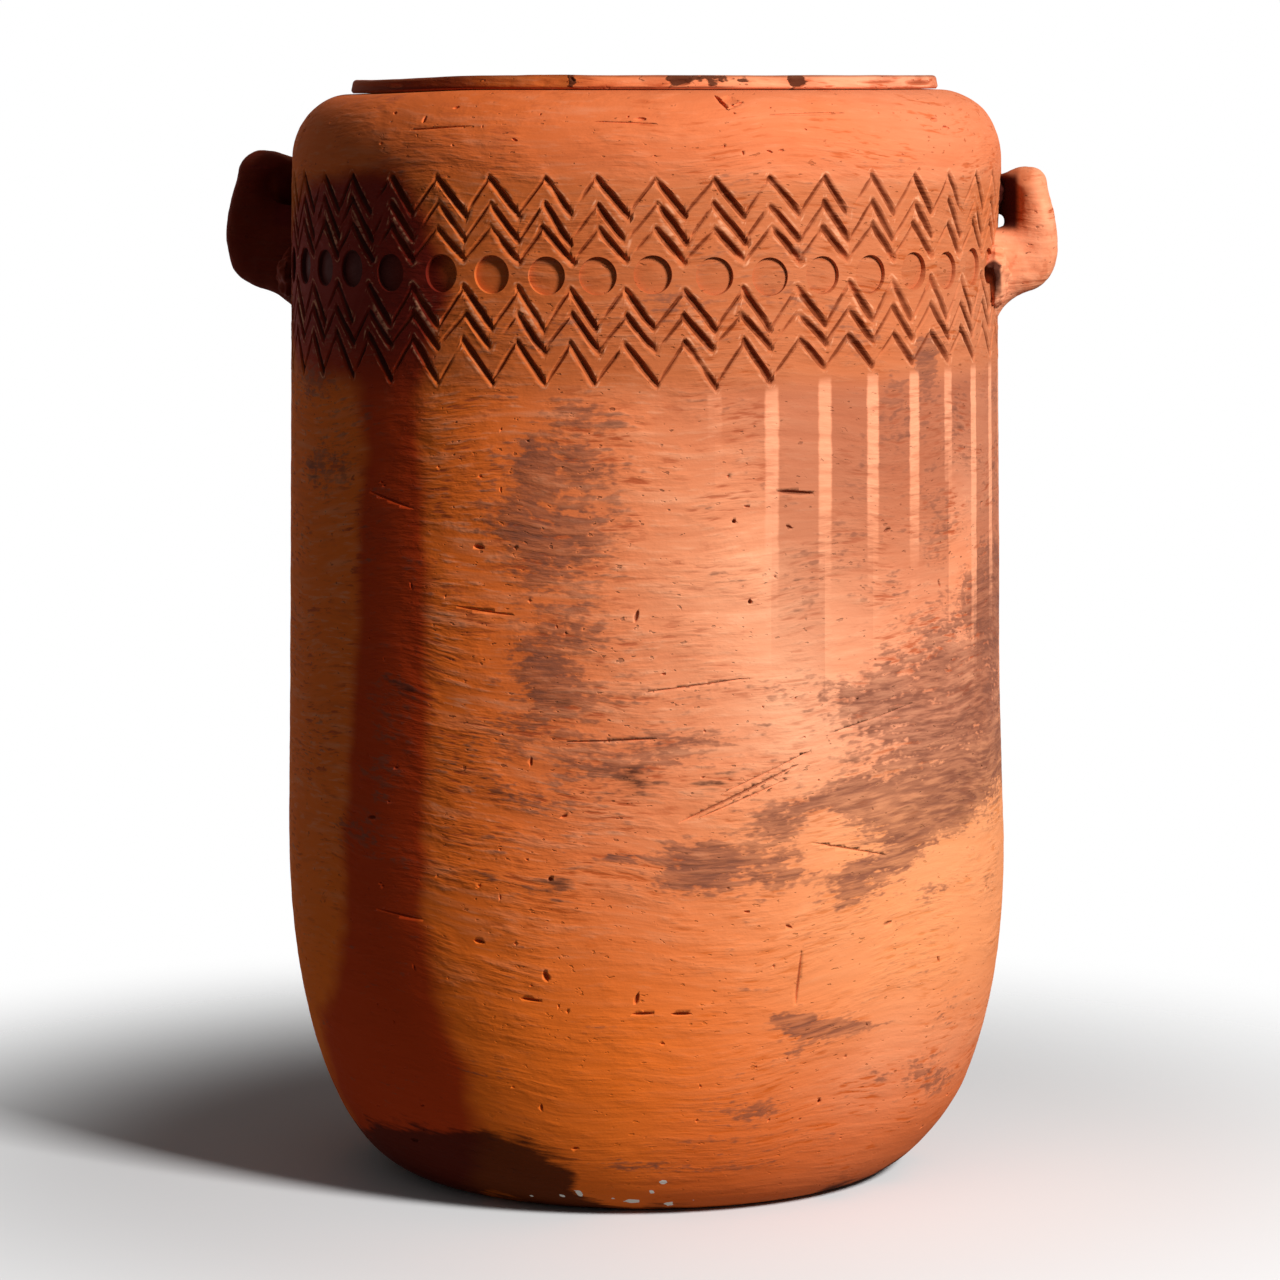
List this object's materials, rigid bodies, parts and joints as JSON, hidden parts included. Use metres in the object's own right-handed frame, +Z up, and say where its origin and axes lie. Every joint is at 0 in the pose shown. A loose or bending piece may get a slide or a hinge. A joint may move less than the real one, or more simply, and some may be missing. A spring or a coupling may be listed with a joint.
{
  "type": "terracotta planter",
  "caption": "Tall hand-built terracotta planter with rounded foot, low collar rim, carved zigzag band over stamped discs, and two loop handles.",
  "frame": {"origin": "centre of the underside, where the planter stands", "axes": "+Z up the pot's axis, X through both loop handles, the more upright handle on +X"},
  "size_m": [0.423, 0.3624, 0.55],
  "materials": {
    "wall_clay": "matte",
    "band_clay": "matte",
    "rim_clay": "matte",
    "handle_clay": "matte",
    "slab_clay": "matte"
  },
  "bodies": {
    "root": {"floor_slab": "slab_clay", "lower_wall": "wall_clay", "middle_wall": "wall_clay", "carved_wall": "band_clay", "shoulder": "wall_clay", "rim_collar": "rim_clay", "right_handle": "handle_clay", "right_upper_wad": "handle_clay", "right_lower_wad": "handle_clay", "left_handle": "handle_clay", "left_upper_wad": "handle_clay", "left_lower_wad": "handle_clay"}
  },
  "joints": []
}
